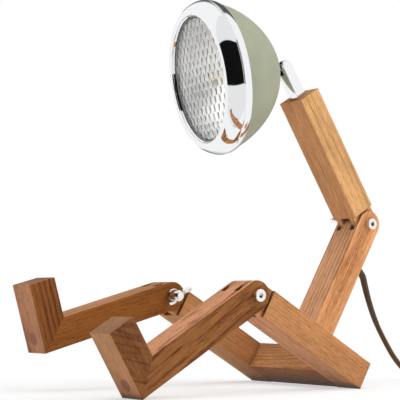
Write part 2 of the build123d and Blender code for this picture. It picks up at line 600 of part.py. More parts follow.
cord_nodes = ["cord_lead", "cord_tail", "cord_end", "cord_coil", "switch_lower", "switch_upper", "switch_screws",
              "switch_rocker", "switch_pin", "plug_body", "plug_pins"]

# ------------------------------------------------------------------ build
make_hips()
make_torso()
make_leg("left", left_shin_plane)
make_leg("right", right_shin_plane)
make_joint_hardware("waist", lower_torso_plane, 1, 0)
make_joint_hardware("left_knee", left_shin_plane, 1, 90)
make_joint_hardware("right_knee", right_shin_plane, -1, -72)
make_neck()
make_bowl()
make_bezel()
make_glass()
make_reflector()
make_lamp()
make_lug()
make_cord()
make_switch()
make_plug()

# The row's origin is the middle of the base of the box round the figure, without its cord.
figure = Compound([shape for name, shape in nodes.items() if name not in cord_nodes]).bounding_box()
to_origin = Vector(-figure.center().X, -figure.center().Y, -figure.min.Z)
os.makedirs("parts", exist_ok=True)
for name, shape in nodes.items():
    export_step(Location(to_origin) * shape, f"parts/{name}.step")

print("origin shift", to_origin, "figure", figure.size)
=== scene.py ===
"""The looks of a desk lamp shaped as a seated wooden robot with a headlamp for a head.

Metres, +Z up. The cord's route, the grain of the wood and the lens are laid out in millimetres.
"""
import json
from math import atan2, cos, pi, radians, sin

import bmesh
import bpy
from mathutils import Matrix, Vector


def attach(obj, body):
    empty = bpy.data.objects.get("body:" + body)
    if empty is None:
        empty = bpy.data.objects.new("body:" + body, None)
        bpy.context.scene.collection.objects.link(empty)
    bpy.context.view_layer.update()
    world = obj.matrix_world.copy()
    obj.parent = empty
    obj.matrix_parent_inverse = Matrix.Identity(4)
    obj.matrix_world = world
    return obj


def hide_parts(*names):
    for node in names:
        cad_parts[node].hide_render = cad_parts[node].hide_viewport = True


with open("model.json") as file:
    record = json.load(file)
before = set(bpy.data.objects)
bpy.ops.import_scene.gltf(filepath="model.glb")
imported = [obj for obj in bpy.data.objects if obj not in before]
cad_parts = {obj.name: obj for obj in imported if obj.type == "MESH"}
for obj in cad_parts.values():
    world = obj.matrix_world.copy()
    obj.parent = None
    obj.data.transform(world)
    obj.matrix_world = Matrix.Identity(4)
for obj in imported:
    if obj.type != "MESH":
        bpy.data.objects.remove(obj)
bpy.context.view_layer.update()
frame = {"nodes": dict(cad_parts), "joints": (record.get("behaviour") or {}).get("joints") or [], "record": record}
nodes = frame["nodes"]
joints = {joint["name"]: joint for joint in frame["joints"]}
mounts = {mount["name"]: mount for mount in frame["record"]["mounts"]}
scene = bpy.context.scene
MM = 0.001


# ------------------------------------------------------------------ places taken from the frame
def joint_at(name):
    return Vector(joints[name]["pos_m"])


def frame_at(origin, x_way, z_way):
    """A matrix from a part's own directions to the model's."""
    x_way, z_way = x_way.normalized(), z_way.normalized()
    turn = Matrix((x_way, z_way.cross(x_way), z_way)).transposed()
    return Matrix.Translation(origin) @ turn.to_4x4()


across = Vector((1, 0, 0))
waist, left_knee, right_knee = joint_at("waist"), joint_at("left_knee"), joint_at("right_knee")
swivel = joint_at("head_turn")
up_neck = Vector(joints["head_turn"]["axis"])
tilt_axis = Vector(joints["head_tilt"]["axis"])
up_hips = -Vector(mounts["hips_underside"]["axis"])
along_thigh = across.cross(up_hips)
left_shin_way = Vector(mounts["left_sole"]["axis"])
right_shin_way = Vector(mounts["right_sole"]["axis"])

# the head's own directions: x along the tilt pin, y down, z back from the bezel's front plane
head_lift = radians(20.5)            # the beam above the plane square to the neck
pin_to_front = 83.349 * MM           # tilt pin to the bezel's front plane, along the beam
pin_below_beam = 0.29 * MM
level_beam = tilt_axis.cross(up_neck)
beam = level_beam * cos(head_lift) + up_neck * sin(head_lift)
beam_up = up_neck * cos(head_lift) - level_beam * sin(head_lift)
head_frame = frame_at(swivel + beam * pin_to_front + beam_up * pin_below_beam, tilt_axis, -beam)


# ------------------------------------------------------------------ mesh helpers
def add_object(name, data):
    thing = bpy.data.objects.new(name, data)
    scene.collection.objects.link(thing)
    return thing


def object_from_bmesh(name, bm, smooth=True):
    mesh = bpy.data.meshes.new(name)
    bm.to_mesh(mesh)
    bm.free()
    mesh.polygons.foreach_set("use_smooth", [smooth] * len(mesh.polygons))
    return add_object(name, mesh)


def baked(thing):
    """A plain mesh of an object as its curve or its modifiers make it."""
    return bpy.data.meshes.new_from_object(thing.evaluated_get(bpy.context.evaluated_depsgraph_get()))


# ------------------------------------------------------------------ camera
camera_at = Vector((902.362, -670.961, 73.144)) * MM
camera_azimuth, camera_elevation = 0.9496422, -0.0733153    # radians; it looks slightly upwards
lens_mm, sensor_mm = 121.600, 36.0


def make_camera():
    data = bpy.data.cameras.new("camera")
    data.lens, data.sensor_width = lens_mm, sensor_mm
    data.clip_start, data.clip_end = 0.01, 100
    camera = add_object("camera", data)
    camera.location = camera_at
    camera.rotation_euler = (pi / 2 - camera_elevation, 0, camera_azimuth)
    scene.camera = camera


make_camera()

# ------------------------------------------------------------------ cord
cord_d = 4.6 * MM

# The route is in millimetres, from a point of its own under the back edge of the hips.
origin_shift = Vector((1.83384, 82.9654, 0))
exit_point = Vector((0, 57.774, 103.498))
gland_out = -along_thigh
gland_straight = 13.0
switch_x, switch_y, switch_cord_z = -8.0, (160.0, 218.0), 6.0
plug_x, plug_y, plug_cord_z = 58.0, 143.0, 7.0
switch_ends = [(switch_x, y, switch_cord_z) for y in switch_y]
plug_end = (plug_x, plug_y, plug_cord_z)
lead_route = [exit_point, exit_point + gland_out * gland_straight, (0, 72.0, 85.0), (0.5, 77.5, 67.5),
              (0, 85.5, 51.0), (0.5, 95.5, 35.0), (0, 107.0, 20.0), (-1, 121.0, 8.0), (-4.5, 136.5, 2.8),
              (-7.7, 149.0, 3.8), switch_ends[0]]
tail_route = [switch_ends[1], (switch_x, 229.0, 4.6), (-3.5, 240.5, 2.6), (7.0, 247.0, 2.4),
              (20.0, 246.0, 2.3), (33.0, 238.0, 2.4), (45.0, 227.5, 2.3), (56.0, 217.5, 2.4)]
end_route = [(70.9, 187.0, 15.5), (69.5, 174.0, 13.5), (63.5, 163.5, 10.0), (59.0, 153.5, 7.6), plug_end]

coil_centre = Vector((42.0, 192.0, 0))
coil_radii = (29.9, 25.1)            # a layer's outer and inner turn
coil_layers = 4
coil_pitch = 4.75                    # from one layer up to the next
coil_low = 2.35                      # middle of the lowest layer above the table
cross_over = 3.2                     # how briskly the cord passes between outer and inner turn
climb = 0.4                          # the share of a turn in which it climbs to the next layer
steps_a_turn = 14


def coil_turns():
    """Control points of the coil: two turns to a layer, in and out again, clockwise from above."""
    start, end = [atan2(y - coil_centre.y, x - coil_centre.x) for x, y, z in (tail_route[-1], end_route[0])]
    turns = 2 * coil_layers + (start - end) / (2 * pi)
    count = round(turns * steps_a_turn)
    points = []
    for k in range(1, count):
        gone = turns * k / count
        layer, in_layer = divmod(gone, 2)
        inwards = min(1, max(0, 0.5 + (0.5 - abs(in_layer - 1)) * cross_over))
        radius = coil_radii[0] + (coil_radii[1] - coil_radii[0]) * inwards
        risen = min(1, max(0, (in_layer - (2 - climb)) / climb))
        height = coil_low + coil_pitch * min(coil_layers - 1, layer + risen)
        angle = start - 2 * pi * gone
        points.append(coil_centre + Vector((radius * cos(angle), radius * sin(angle), height)))
    return points


def route_points():
    """The points of the cord's middle line, close together, from the torso to the plug."""
    points = [(Vector(p) + origin_shift) * MM for p in lead_route + tail_route + coil_turns() + end_route]
    curve = bpy.data.curves.new("cord", "CURVE")
    curve.dimensions = "3D"
    spline = curve.splines.new("NURBS")
    spline.points.add(len(points) - 1)
    for spot, point in zip(spline.points, points):
        spot.co = (*point, 1)
    spline.order_u = 3
    spline.use_endpoint_u = True
    spline.resolution_u = 6
    line = add_object("cord_line", curve)
    mesh = baked(line)
    found = [vert.co.copy() for vert in mesh.vertices]
    bpy.data.meshes.remove(mesh)
    bpy.data.objects.remove(line)
    return found


def tube(name, points, radius_at, sides=12):
    """A closed tube along points, with a UV map: u once round, v in metres along."""
    gone = [0.0]
    for before, after in zip(points, points[1:]):
        gone.append(gone[-1] + (after - before).length)
    bm = bmesh.new()
    uv = bm.loops.layers.uv.new("along")
    angles = [2 * pi * i / sides for i in range(sides)]
    rings, side_way = [], Vector((1, 0, 0))
    for k, point in enumerate(points):
        way = (points[min(k + 1, len(points) - 1)] - points[max(k - 1, 0)]).normalized()
        side_way = (side_way - way * side_way.dot(way)).normalized()
        up_way = way.cross(side_way)
        radius = radius_at(gone[k] / gone[-1])
        rings.append([bm.verts.new(point + (side_way * cos(a) + up_way * sin(a)) * radius) for a in angles])
    for k, (low, high) in enumerate(zip(rings, rings[1:])):
        for i in range(sides):
            j = (i + 1) % sides
            face = bm.faces.new((low[i], low[j], high[j], high[i]))
            corners = ((i, gone[k]), (i + 1, gone[k]), (i + 1, gone[k + 1]), (i, gone[k + 1]))
            for loop, (u, v) in zip(face.loops, corners):
                loop[uv].uv = (u / sides, v)
    for ring, step in ((rings[0], -1), (rings[-1], 1)):
        bm.faces.new(ring[::step])
    return object_from_bmesh(name, bm)


cord_path = route_points()
cord = tube("cord", cord_path, lambda part: cord_d / 2)
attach(cord, "frame")


def stretch(near, length):
    """The cord's path from its point nearest to near, onwards, or backwards for a negative length."""
    near = (Vector(near) + origin_shift) * MM
    at = min(range(len(cord_path)), key=lambda k: (cord_path[k] - near).length)
    step, gone, found = (1 if length > 0 else -1), 0.0, [cord_path[at]]
    while gone < abs(length) * MM and 0 <= at + step < len(cord_path):
        gone += (cord_path[at + step] - cord_path[at]).length
        at += step
        found.append(cord_path[at])
    return found


def relief(name, near, length, thick, thin):
    """A tapered sleeve on the cord, from a housing outwards: its length and end radii in millimetres."""
    taper = 1.3
    piece = tube(name, stretch(near, length),
                 lambda part: (thin + (thick - thin) * (1 - part) ** taper) * MM, sides=20)
    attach(piece, "frame")
    return piece


def coil_tie():
    """A strap round all the turns of the coil."""
    angle, half_wide, thick, corner, slack = radians(25), 3.5, 0.5, 2.4, 0.1
    corner_steps = 6
    cord_r = cord_d / MM / 2
    out_way, along = Vector((cos(angle), sin(angle), 0)), Vector((-sin(angle), cos(angle), 0))
    up_way = Vector((0, 0, 1))
    inner, outer = coil_radii[1] - cord_r, coil_radii[0] + cord_r
    low, high = thick, coil_low + coil_pitch * (coil_layers - 1) + cord_r + slack
    loop = []
    for out, up, start in ((outer - corner, high - corner, 0), (inner + corner, high - corner, 90),
                           (inner + corner, low + corner, 180), (outer - corner, low + corner, 270)):
        for k in range(corner_steps + 1):
            turn = radians(start + 90 * k / corner_steps)
            loop.append((out, up, cos(turn), sin(turn)))
    bm = bmesh.new()
    rings = []
    for side, more in ((-half_wide, 0), (half_wide, 0), (half_wide, thick), (-half_wide, thick)):
        middle, r = coil_centre + origin_shift + along * side, corner + more
        spots = [middle + out_way * (out + c * r) + up_way * (up + s * r) for out, up, c, s in loop]
        rings.append([bm.verts.new(spot * MM) for spot in spots])
    for low_ring, high_ring in zip(rings, rings[1:] + rings[:1]):
        for i in range(len(loop)):
            j = (i + 1) % len(loop)
            bm.faces.new((low_ring[i], low_ring[j], high_ring[j], high_ring[i]))
    bmesh.ops.recalc_face_normals(bm, faces=bm.faces)
    tie = object_from_bmesh("coil_tie", bm, smooth=False)
    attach(tie, "frame")
    return tie


gland_relief = relief("gland_relief", exit_point, 60, 3.2, 2.42)
switch_reliefs = [relief("switch_relief_in", switch_ends[0], -24, 3.6, 2.5),
                  relief("switch_relief_out", switch_ends[1], 24, 3.6, 2.5)]
plug_relief = relief("plug_relief", plug_end, -24, 3.8, 2.5)
tie = coil_tie()
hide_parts("cord_lead", "cord_tail", "cord_coil", "cord_end")


# ------------------------------------------------------------------ shader helpers
def node(tree, kind, inputs=None, **settings):
    """A node with its settings, its values, and its links from other nodes' sockets."""
    made = tree.nodes.new(kind)
    for key, value in settings.items():
        setattr(made, key, value)
    for key, value in (inputs or {}).items():
        if isinstance(value, bpy.types.NodeSocket):
            tree.links.new(value, made.inputs[key])
        else:
            made.inputs[key].default_value = value
    return made


def maths(tree, operation, a, b=0.0, c=0.0):
    return node(tree, "ShaderNodeMath", {0: a, 1: b, 2: c}, operation=operation).outputs[0]


def plus(tree, first, *others):
    for other in others:
        first = maths(tree, "ADD", first, other)
    return first


def times(tree, first, *others):
    for other in others:
        first = maths(tree, "MULTIPLY", first, other)
    return first


def vector_maths(tree, operation, a, b=(0, 0, 0)):
    made = node(tree, "ShaderNodeVectorMath", {0: a, 1: b}, operation=operation)
    return made.outputs["Value" if operation in ("DOT_PRODUCT", "LENGTH") else "Vector"]


def vector_of(tree, x=0.0, y=0.0, z=0.0):
    return node(tree, "ShaderNodeCombineXYZ", {0: x, 1: y, 2: z}).outputs[0]


def parts_of(tree, vector):
    return node(tree, "ShaderNodeSeparateXYZ", {0: vector}).outputs


def mixed(tree, how_much, a, b, blend="MIX"):
    return node(tree, "ShaderNodeMix", {0: how_much, 6: a, 7: b}, data_type="RGBA",
                blend_type=blend).outputs[2]


def eased(tree, value, low, high, to_low=0.0, to_high=1.0):
    return node(tree, "ShaderNodeMapRange", {"Value": value, 1: low, 2: high, 3: to_low, 4: to_high},
                interpolation_type="SMOOTHSTEP").outputs[0]


def noise(tree, spot, scale=1.0, detail=2.0, rough=0.5, seed=0.0, output="Fac"):
    return node(tree, "ShaderNodeTexNoise", {"Vector": spot, "W": seed, "Scale": scale, "Detail": detail,
                                             "Roughness": rough}, noise_dimensions="4D").outputs[output]


def bumped(tree, height, strength, depth):
    """Normals for a height texture that is depth metres deep."""
    return node(tree, "ShaderNodeBump", {"Height": height, "Strength": strength,
                                         "Distance": depth}).outputs[0]


def new_material(name):
    material = bpy.data.materials.new(name)
    material.use_nodes = True
    tree = material.node_tree
    tree.nodes.clear()
    return material, tree


def finish_material(tree, shader):
    node(tree, "ShaderNodeOutputMaterial", {"Surface": shader})


def finish_principled(tree, values):
    finish_material(tree, node(tree, "ShaderNodeBsdfPrincipled", values).outputs[0])


def in_mm(tree):
    """Object coordinates in millimetres."""
    place = node(tree, "ShaderNodeTexCoord").outputs["Object"]
    return node(tree, "ShaderNodeMapping", {"Vector": place, "Scale": (1 / MM,) * 3}).outputs[0]


def in_own_mm(tree, matrix):
    """Object coordinates in a part's own directions and millimetres."""
    place = node(tree, "ShaderNodeTexCoord").outputs["Object"]
    return node(tree, "ShaderNodeMapping", {"Vector": place, "Location": matrix.translation,
                                            "Rotation": matrix.to_euler(), "Scale": (MM,) * 3},
                vector_type="TEXTURE").outputs[0]


def rgba(colour, tone=1.0):
    return (*[channel * tone for channel in colour], 1)


# ------------------------------------------------------------------ wood
dense_wood = (0.42, 0.30, 0.22, 1)   # the darkest grain, as a share of the colour around it
# how open the wood is from one year's start to the next: 1 is the porous early wood
openness = ((0.12, 1.0), (0.34, 0.35), (0.60, 0.0), (0.88, 0.1))
openness_at_ends = 0.75


def growth_years(tree, spot, bend, pith, ring, slant, seed):
    """Years out from the pith, whose line leans by slant as it runs along the limb."""
    along = parts_of(tree, spot)[2]
    lean = vector_of(tree, times(tree, along, slant[0]), times(tree, along, slant[1]))
    from_pith = vector_maths(tree, "SUBTRACT", vector_maths(tree, "ADD", spot, bend), (*pith, 0))
    from_pith = vector_maths(tree, "MULTIPLY", vector_maths(tree, "ADD", from_pith, lean), (1, 1, 0))
    years = maths(tree, "DIVIDE", vector_maths(tree, "LENGTH", from_pith), ring)
    ragged = noise(tree, vector_maths(tree, "MULTIPLY", spot, (0.5, 0.5, 0.03)), detail=2, seed=seed)
    return plus(tree, years, times(tree, ragged, 0.7))


def early_wood(tree, years):
    """How open the wood is at a point of its year."""
    early = node(tree, "ShaderNodeValToRGB", {0: maths(tree, "FRACT", years)})
    ramp = early.color_ramp
    for end, where in zip(ramp.elements, (0.0, 1.0)):
        end.position, end.color = where, rgba((openness_at_ends,) * 3)
    for where, value in openness:
        ramp.elements.new(where).color = rgba((value,) * 3)
    return early.outputs[0]


def side_figure(tree, spot, slope, seed):
    """Dark figure that crosses the grain at a slope, as seen on a side of the limb."""
    through, along = parts_of(tree, spot)[1:3]
    over = plus(tree, through, times(tree, along, slope))
    on = maths(tree, "SUBTRACT", along, times(tree, through, slope))
    stretched = vector_of(tree, times(tree, over, 0.26), times(tree, on, 0.016))
    return eased(tree, noise(tree, stretched, detail=3, rough=0.65, seed=seed), 0.48, 0.60)


def wood(name, limb, side, face, pith, ring, contrast, wave, streaks, seed, flecks=0.55, slant=(0, 0),
         figure=None):
    """Oiled ash in a limb's own coordinates: x across, y through, z along the grain, in millimetres.

    side and face are the colours of the faces square to x and to y. The growth rings centre on pith, are ring
    wide and wander by wave. contrast, streaks and flecks say how dark the rings, the long marks and the pores
    are. figure is the slope and the darkness of marks that show on the sides alone.
    """
    material, tree = new_material(name)
    spot = in_own_mm(tree, limb)

    def stretched(sideways, lengthways):
        return vector_maths(tree, "MULTIPLY", spot, (sideways, sideways, lengthways))

    def facing(column):
        """How squarely a face looks along one of the limb's own directions."""
        normal = node(tree, "ShaderNodeTexCoord").outputs["Normal"]
        return maths(tree, "ABSOLUTE", vector_maths(tree, "DOT_PRODUCT", normal, limb.col[column].to_3d()))

    wander = noise(tree, stretched(0.035, 0.011), detail=1, seed=seed, output="Color")
    wander = vector_maths(tree, "SUBTRACT", wander, (0.5,) * 3)
    bend = vector_maths(tree, "MULTIPLY", wander, (2 * wave, 2 * wave, 0))
    years = growth_years(tree, spot, bend, pith, ring, slant, seed + 1)
    early = early_wood(tree, years)
    year_and_place = vector_of(tree, times(tree, years, 0.6), times(tree, parts_of(tree, spot)[2], 0.012))
    good_years = noise(tree, year_and_place, detail=0, seed=seed + 2)
    lines = times(tree, early, eased(tree, good_years, 0.3, 0.7, 0.25, 1.0))
    fibre = noise(tree, stretched(0.9, 0.08), detail=3, rough=0.65, seed=seed + 3)
    pores = eased(tree, noise(tree, stretched(1.25, 0.17), detail=2, rough=0.6, seed=seed + 4), 0.50, 0.66)
    pores = times(tree, pores, plus(tree, times(tree, early, 0.6), 0.4))
    long_marks = vector_maths(tree, "ADD", stretched(0.16, 0.006), bend)
    long_marks = eased(tree, noise(tree, long_marks, detail=1, seed=seed + 5), 0.56, 0.72)
    broad = noise(tree, stretched(0.05, 0.012), detail=1, seed=seed + 6)

    on_side = eased(tree, facing(0), 0.35, 0.85)
    on_end = eased(tree, facing(2), 0.6, 0.95, 1.0, 0.62)
    dark = plus(tree, times(tree, lines, contrast), times(tree, pores, flecks),
                times(tree, long_marks, streaks))
    if figure:
        slope, darkness = figure
        marks = times(tree, side_figure(tree, spot, slope, seed + 7), on_side)
        dark = plus(tree, dark, times(tree, marks, darkness))
    dark = node(tree, "ShaderNodeClamp", {0: dark}).outputs[0]
    base = mixed(tree, on_side, rgba(face), rgba(side))
    colour = mixed(tree, dark, base, mixed(tree, 1.0, base, dense_wood, "MULTIPLY"))
    made_up = 1 + 0.28 * contrast + 0.1 * streaks + 0.25 * flecks    # for the light that the dark grain takes
    # painted shade: the colour is darkened in slots, gaps and corners near other surfaces, where shade falls
    crevice_painted_shade = node(tree, "ShaderNodeAmbientOcclusion", {"Distance": 7 * MM}, samples=6).outputs["AO"]
    grain_tone_and_painted_shade = times(tree, eased(tree, fibre, 0.25, 0.75, 0.78, 1.24), eased(tree, broad, 0.3, 0.7, 0.90, 1.12),
                 on_end, made_up, eased(tree, crevice_painted_shade, 0.15, 0.75, 0.25, 1.0))
    height = maths(tree, "SUBTRACT", times(tree, fibre, 0.5), times(tree, pores, 0.8))
    colour = vector_maths(tree, "MULTIPLY", colour, vector_of(tree, grain_tone_and_painted_shade, grain_tone_and_painted_shade, grain_tone_and_painted_shade))
    finish_principled(tree, {"Base Color": colour, "Specular IOR Level": 0.12,
                             "Roughness": eased(tree, fibre, 0.3, 0.7, 0.62, 0.5),
                             "Normal": bumped(tree, height, 0.5, 0.12 * MM)})
    return material


def plug_wood(name, limb, colour, seed):
    """End grain of a turned plug: pores on fine rings."""
    material, tree = new_material(name)
    spot = in_own_mm(tree, limb)
    rings = node(tree, "ShaderNodeTexWave", {"Vector": spot, "Scale": 0.35, "Distortion": 1.5, "Detail": 2.0,
                                             "Phase Offset": seed}, wave_type="RINGS", rings_direction="Z")
    pores = eased(tree, noise(tree, spot, scale=1.6, detail=1, seed=seed), 0.5, 0.7)
    dark = plus(tree, times(tree, rings.outputs["Fac"], 0.25), times(tree, pores, 0.4))
    finish_principled(tree, {"Base Color": mixed(tree, dark, rgba(colour), rgba(colour, 0.45)),
                             "Roughness": 0.6, "Specular IOR Level": 0.2,
                             "Normal": bumped(tree, times(tree, pores, -1.0), 0.4, 0.1 * MM)})
    return material


# ------------------------------------------------------------------ metal, glass, paint, rubber and textile
def metal(name, colour, rough, unevenness=0.02, scale=0.4):
    """Plated metal with faint unevenness in its polish."""
    material, tree = new_material(name)
    uneven = noise(tree, in_mm(tree), scale=scale, detail=3)
    finish_principled(tree, {"Base Color": rgba(colour), "Metallic": 1.0,
                             "Roughness": eased(tree, uneven, 0.3, 0.7, rough, rough + unevenness)})
    return material


def metal_with_painted_rim_shade(name, colour, rough, rim_end):
    """Bright metal with a rim band painted darker, as painted shade, up to rim_end millimetres behind the front of
    the head.
    """
    material, tree = new_material(name)
    back = parts_of(tree, in_own_mm(tree, head_frame))[2]
    past_painted_rim_shade = eased(tree, back, rim_end - 2, rim_end + 2)
    finish_principled(tree, {"Base Color": mixed(tree, past_painted_rim_shade, rgba(colour, 0.5), rgba(colour)),
                             "Metallic": 1.0, "Roughness": rough})
    return material


def moulded(name, colour, rough, depth=0.03, scale=2.2, coat=0.0, level=0.4):
    """Paint, plastic or rubber with a fine even texture, depth millimetres deep."""
    material, tree = new_material(name)
    spot = in_mm(tree)
    cloudy = eased(tree, noise(tree, spot, scale=0.06, detail=1, seed=3), 0.35, 0.65)
    texture = noise(tree, spot, scale=scale, detail=2)
    finish_principled(tree, {"Base Color": mixed(tree, cloudy, rgba(colour, 0.96), rgba(colour, 1.03)),
                             "Roughness": rough, "Coat Weight": coat, "Specular IOR Level": level,
                             "Normal": bumped(tree, texture, 0.6, depth * MM)})
    return material


def clear_glass(name, colour, rough=0.0, bends=1.5):
    """Glass with a faint ripple: bends is its refractive index."""
    material, tree = new_material(name)
    ripple = noise(tree, in_mm(tree), scale=0.25, detail=1)
    finish_principled(tree, {"Base Color": rgba(colour), "Roughness": rough, "IOR": bends,
                             "Transmission Weight": 1.0, "Normal": bumped(tree, ripple, 0.2, 0.05 * MM)})
    return material


def braided(name, colour, strands=16, lay=5.2 * MM):
    """A textile braid on a tube's own UV map: two sets of strands that cross."""
    material, tree = new_material(name)
    around, along = parts_of(tree, node(tree, "ShaderNodeUVMap", uv_map="along").outputs[0])[:2]
    turn = times(tree, around, strands / 2)
    run = times(tree, along, strands / 2 / (lay * 4))

    def strand(operation):
        wave = maths(tree, "SINE", times(tree, maths(tree, operation, turn, run), pi))
        return maths(tree, "ABSOLUTE", wave)

    over = maths(tree, "GREATER_THAN", maths(tree, "SINE", times(tree, run, 2 * pi)), 0.0)
    height = node(tree, "ShaderNodeMix", {0: over, 2: strand("ADD"), 3: strand("SUBTRACT")},
                  data_type="FLOAT").outputs[0]
    fuzz = noise(tree, in_mm(tree), scale=3.0, detail=2)
    # painted shade: the braid's colour is darker where the strands dip into the hollows between them; the fuzz
    # adds a random tone
    shade = times(tree, eased(tree, height, 0.0, 0.8, 0.45, 1.1), eased(tree, fuzz, 0.3, 0.7, 0.8, 1.2))
    tone = vector_maths(tree, "MULTIPLY", vector_of(tree, shade, shade, shade), colour)
    finish_principled(tree, {"Base Color": tone, "Roughness": 0.85, "Sheen Weight": 0.25,
                             "Sheen Roughness": 0.5, "Specular IOR Level": 0.15,
                             "Normal": bumped(tree, height, 0.8, 0.3 * MM)})
    return material


def dress(material, *names):
    for name in names:
        nodes[name].data.materials.clear()
        nodes[name].data.materials.append(material)


# ------------------------------------------------------------------ the limbs' own coordinates and their wood
module = 130.0 * MM                  # from a limb's joint axis to its far end
left_toe_way, right_toe_way = left_shin_way.cross(across), right_shin_way.cross(across)
limbs = {
    "lower_torso": frame_at(waist, across, -up_hips),
    "upper_torso": frame_at(waist, across, up_neck),
    "left_thigh": frame_at(left_knee, across, -along_thigh),
    "right_thigh": frame_at(right_knee, across, -along_thigh),
    "hip_crossbar": frame_at(waist - up_hips * module, along_thigh, across),
    "left_shin": frame_at(left_knee, across, left_shin_way),
    "right_shin": frame_at(right_knee, across, right_shin_way),
    "left_foot": frame_at(left_knee + left_shin_way * module, across, left_toe_way),
    "right_foot": frame_at(right_knee + right_shin_way * module, across, right_toe_way),
}
timber = {
    "lower_torso": dict(side=(0.633, 0.305, 0.133), face=(0.586, 0.311, 0.164), pith=(210, 25), ring=4.4,
                        contrast=0.75, wave=0.5, streaks=0.05, seed=1),
    "upper_torso": dict(side=(0.591, 0.321, 0.135), face=(0.5, 0.245, 0.105), pith=(170, -60), ring=2.3,
                        contrast=0.45, wave=0.8, streaks=0.05, flecks=0.4, seed=2),
    "left_thigh": dict(side=(0.468, 0.214, 0.0845), face=(0.44, 0.205, 0.095), pith=(20, 70), ring=2.8,
                       contrast=0.3, wave=2.5, streaks=0.1, seed=3),
    "right_thigh": dict(side=(0.432, 0.2, 0.079), face=(0.42, 0.193, 0.064), pith=(-40, 60), ring=2.5,
                        contrast=0.4, wave=2.5, streaks=0.15, seed=4),
    # the crossbar's face colour is its wood darkened with painted shade, for the shade that falls on it under the
    # legs
    "hip_crossbar": dict(side=(0.40, 0.19, 0.078), face=(0.20, 0.07, 0.014), pith=(3, 26), ring=2.4,
                         contrast=0.6, wave=3.0, slant=(0.0, 0.06), streaks=0.1, seed=5),
    "left_shin": dict(side=(0.235, 0.092, 0.028), face=(0.47, 0.223, 0.11), pith=(34, 8), ring=4.2,
                      contrast=0.45, wave=4.0, slant=(0.02, 0.05), streaks=0.6, figure=(0.06, 0.6), seed=6),
    "right_shin": dict(side=(0.23, 0.079, 0.017), face=(0.336, 0.157, 0.068), pith=(30, 40), ring=3.0,
                       contrast=0.35, wave=3.0, streaks=0.3, seed=7),
    "left_foot": dict(side=(0.194, 0.077, 0.0245), face=(0.39, 0.19, 0.085), pith=(150, 30), ring=3.0,
                      contrast=0.4, wave=2.0, streaks=0.1, figure=(1.07, 0.5), seed=8),
    "right_foot": dict(side=(0.194, 0.069, 0.0185), face=(0.337, 0.153, 0.075), pith=(10, 200), ring=4.7,
                       contrast=1.0, wave=1.5, streaks=0.1, seed=9),
}
for piece, how in timber.items():
    dress(wood(piece + "_ash", limbs[piece], **how), piece)
for which, seed in (("left", 1.0), ("right", 4.0)):
    plug = which + "_foot_plug"
    dress(plug_wood(plug + "_wood", limbs[which + "_shin"], (0.31, 0.125, 0.065), seed), plug)
dress(plug_wood("beech_dowel", limbs["hip_crossbar"], (0.62, 0.42, 0.24), 2.0), "hip_dowels", "torso_dowels")

# ------------------------------------------------------------------ the other finishes
black_rubber = moulded("black_rubber", (0.03, 0.03, 0.03), 0.75, depth=0.04)
relief_rubber = moulded("relief_rubber", (0.085, 0.05, 0.025), 0.55)
bolt_hardware = [n for n in nodes if n.endswith(("_bolt", "_wing_nut"))
                 or n in ("waist_washer", "left_knee_washer", "right_knee_washer")]
dress(metal("chrome_plate", (0.88, 0.89, 0.90), 0.035), "bezel_ring", "neck_bar", "neck_barrel", "head_lug")
dress(metal("nickel_plate", (0.90, 0.89, 0.86), 0.16, 0.08, 1.2), "plug_pins", *bolt_hardware)
dress(metal("zinc_plate", (0.62, 0.62, 0.60), 0.28, 0.12, 1.0), "tilt_pin", "neck_pin", "left_foot_screw",
      "right_foot_screw", "stud_nut", "stud_washer", "holder_bracket", "lens_clips", "switch_screws",
      "switch_pin")
# the reflector's band near its rim is painted darker: painted shade
dress(metal_with_painted_rim_shade("reflector_aluminium", (0.98, 0.975, 0.965), 0.5, 13), "reflector")
dress(moulded("olive_paint", (0.352, 0.365, 0.262), 0.5, depth=0.05, scale=0.9, level=0.3), "bowl")
dress(black_rubber, "lens_gasket", "cord_gland")
dress(moulded("white_ceramic", (0.84, 0.83, 0.79), 0.3, depth=0.01, scale=0.5, coat=0.5), "lamp_holder")
dress(clear_glass("lamp_glass", (1.0, 0.93, 0.80)), "lamp_glass")
dress(moulded("lamp_base_plastic", (0.82, 0.80, 0.74), 0.4), "lamp_base")
dress(moulded("terminal_plastic", (0.78, 0.76, 0.66), 0.5), "terminal_block")
dress(moulded("lead_sleeve", (0.09, 0.07, 0.06), 0.6), "lower_lead", "upper_lead")
dress(moulded("dark_plastic", (0.075, 0.045, 0.028), 0.42, scale=1.8), "switch_lower", "switch_upper",
      "plug_body")
dress(moulded("rocker_plastic", (0.08, 0.05, 0.03), 0.22, depth=0.01, scale=1.0), "switch_rocker")
cord.data.materials.append(braided("brown_textile", (0.13, 0.062, 0.02)))
for piece in (gland_relief, *switch_reliefs, plug_relief):
    piece.data.materials.append(relief_rubber)
tie.data.materials.append(black_rubber)

# ------------------------------------------------------------------ prismatic lens, in the head's millimetres
dome_front = 1.5                     # the dome's middle behind the bezel's front plane
ball_r = 634.7                       # the dome's own radius of curvature
dome_r = 52.8
flange_r = 58.5
flange_front, flange_back = 3.7, 6.7
flange_bevel = 0.3
dome_lip = 0.03                      # the dome's edge stands this proud of the flange
glass = 1.8                          # between the dome and the prisms' lowest places
prism_r = 51.6                       # the prisms end here
step_r = (51.9, 52.5)                # and a small step joins them to the flange
step_drop = 0.1


def dome_z(radius):
    """The lens's outer face behind the bezel's front plane."""
    return dome_front + ball_r - (ball_r ** 2 - radius ** 2) ** 0.5


